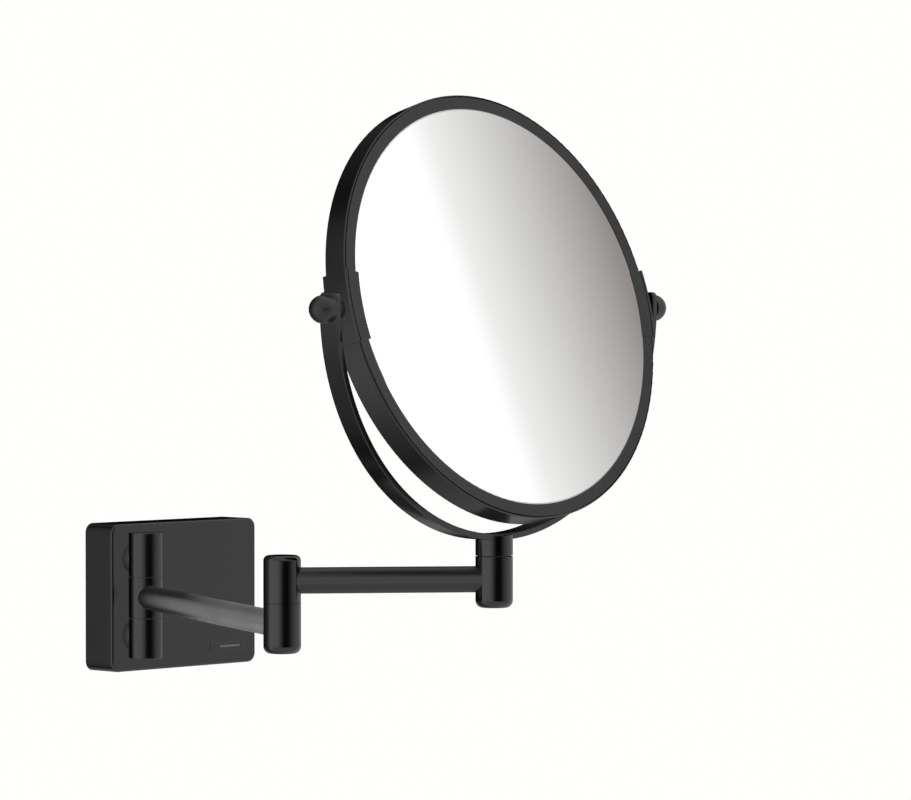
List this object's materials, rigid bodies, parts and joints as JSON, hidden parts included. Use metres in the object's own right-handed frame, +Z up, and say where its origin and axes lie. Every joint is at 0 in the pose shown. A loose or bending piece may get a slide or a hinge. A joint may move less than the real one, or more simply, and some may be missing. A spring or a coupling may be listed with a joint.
{
  "type": "extendable shaving mirror",
  "caption": "Wall-mounted round shaving mirror on two swinging arms, with a tilting two-sided head held in a half-round yoke.",
  "frame": {"origin": "centre of the wall bracket's back face, on the wall plane", "axes": "+Z up, +Y into the wall, the mirror stands out along -Y, +X to the right seen from the room"},
  "size_m": [0.2226, 0.2966, 0.2669],
  "materials": {
    "black_coat": "satin matt black coating on metal",
    "silvered_glass": "silvered glass",
    "zinc_steel": "zinc plated steel",
    "black_polymer": "low-friction polymer",
    "core_alloy": "plain",
    "seal_rubber": "soft"
  },
  "bodies": {
    "wall_unit": {"wall_cover": "black_coat", "cover_badge": "black_coat", "wall_bracket": "zinc_steel", "cover_grub_screws": "zinc_steel", "upper_post": "black_coat", "lower_post": "black_coat", "post_screws": "zinc_steel", "upper_hinge_barrel": "black_coat", "lower_hinge_barrel": "black_coat", "wall_hinge_pin": "zinc_steel", "upper_thrust_washer": "black_polymer", "lower_thrust_washer": "black_polymer"},
    "arm_1": {"arm_1_hub": "black_coat", "hub_bush": "black_polymer", "arm_1_tube": "black_coat", "elbow_lower_barrel": "black_coat", "elbow_thrust_washer": "black_polymer", "elbow_pin": "zinc_steel", "elbow_spring_washer": "zinc_steel"},
    "arm_2": {"elbow_upper_barrel": "black_coat", "elbow_cap": "black_coat", "arm_2_tube": "black_coat", "head_barrel": "black_coat", "head_barrel_cap": "black_coat"},
    "yoke": {"swivel_washer": "black_polymer", "swivel_stem": "black_coat", "swivel_bolt": "black_coat", "swivel_nut": "zinc_steel", "swivel_spring_washer": "zinc_steel", "yoke_band": "black_coat"},
    "mirror_head": {"mirror_rim": "black_coat", "front_bezel": "black_coat", "rear_bezel": "black_coat", "plain_glass": "silvered_glass", "magnifying_glass": "silvered_glass", "core_ring": "core_alloy", "front_seal": "seal_rubber", "rear_seal": "seal_rubber", "left_saddle": "black_coat", "right_saddle": "black_coat", "left_pivot_knob": "black_coat", "right_pivot_knob": "black_coat", "left_pivot_washer": "black_polymer", "right_pivot_washer": "black_polymer"}
  },
  "joints": [
    {"name": "wall_hinge", "type": "hinge", "parent": "wall_unit", "child": "arm_1", "pos_m": [-0.0337, -0.0277, 0.0006], "axis": [0, 0, 1], "range_deg": [-64, 115]},
    {"name": "elbow_hinge", "type": "hinge", "parent": "arm_1", "child": "arm_2", "pos_m": [-0.11829, -0.20705, 0.0103], "axis": [0, 0, 1], "continuous": true},
    {"name": "head_swivel", "type": "hinge", "parent": "arm_2", "child": "yoke", "pos_m": [-0.04686, -0.26646, 0.03], "axis": [0, 0, 1], "continuous": true},
    {"name": "mirror_tilt", "type": "hinge", "parent": "yoke", "child": "mirror_head", "pos_m": [-0.04686, -0.26646, 0.1382], "axis": [1, 0, 0], "continuous": true}
  ]
}
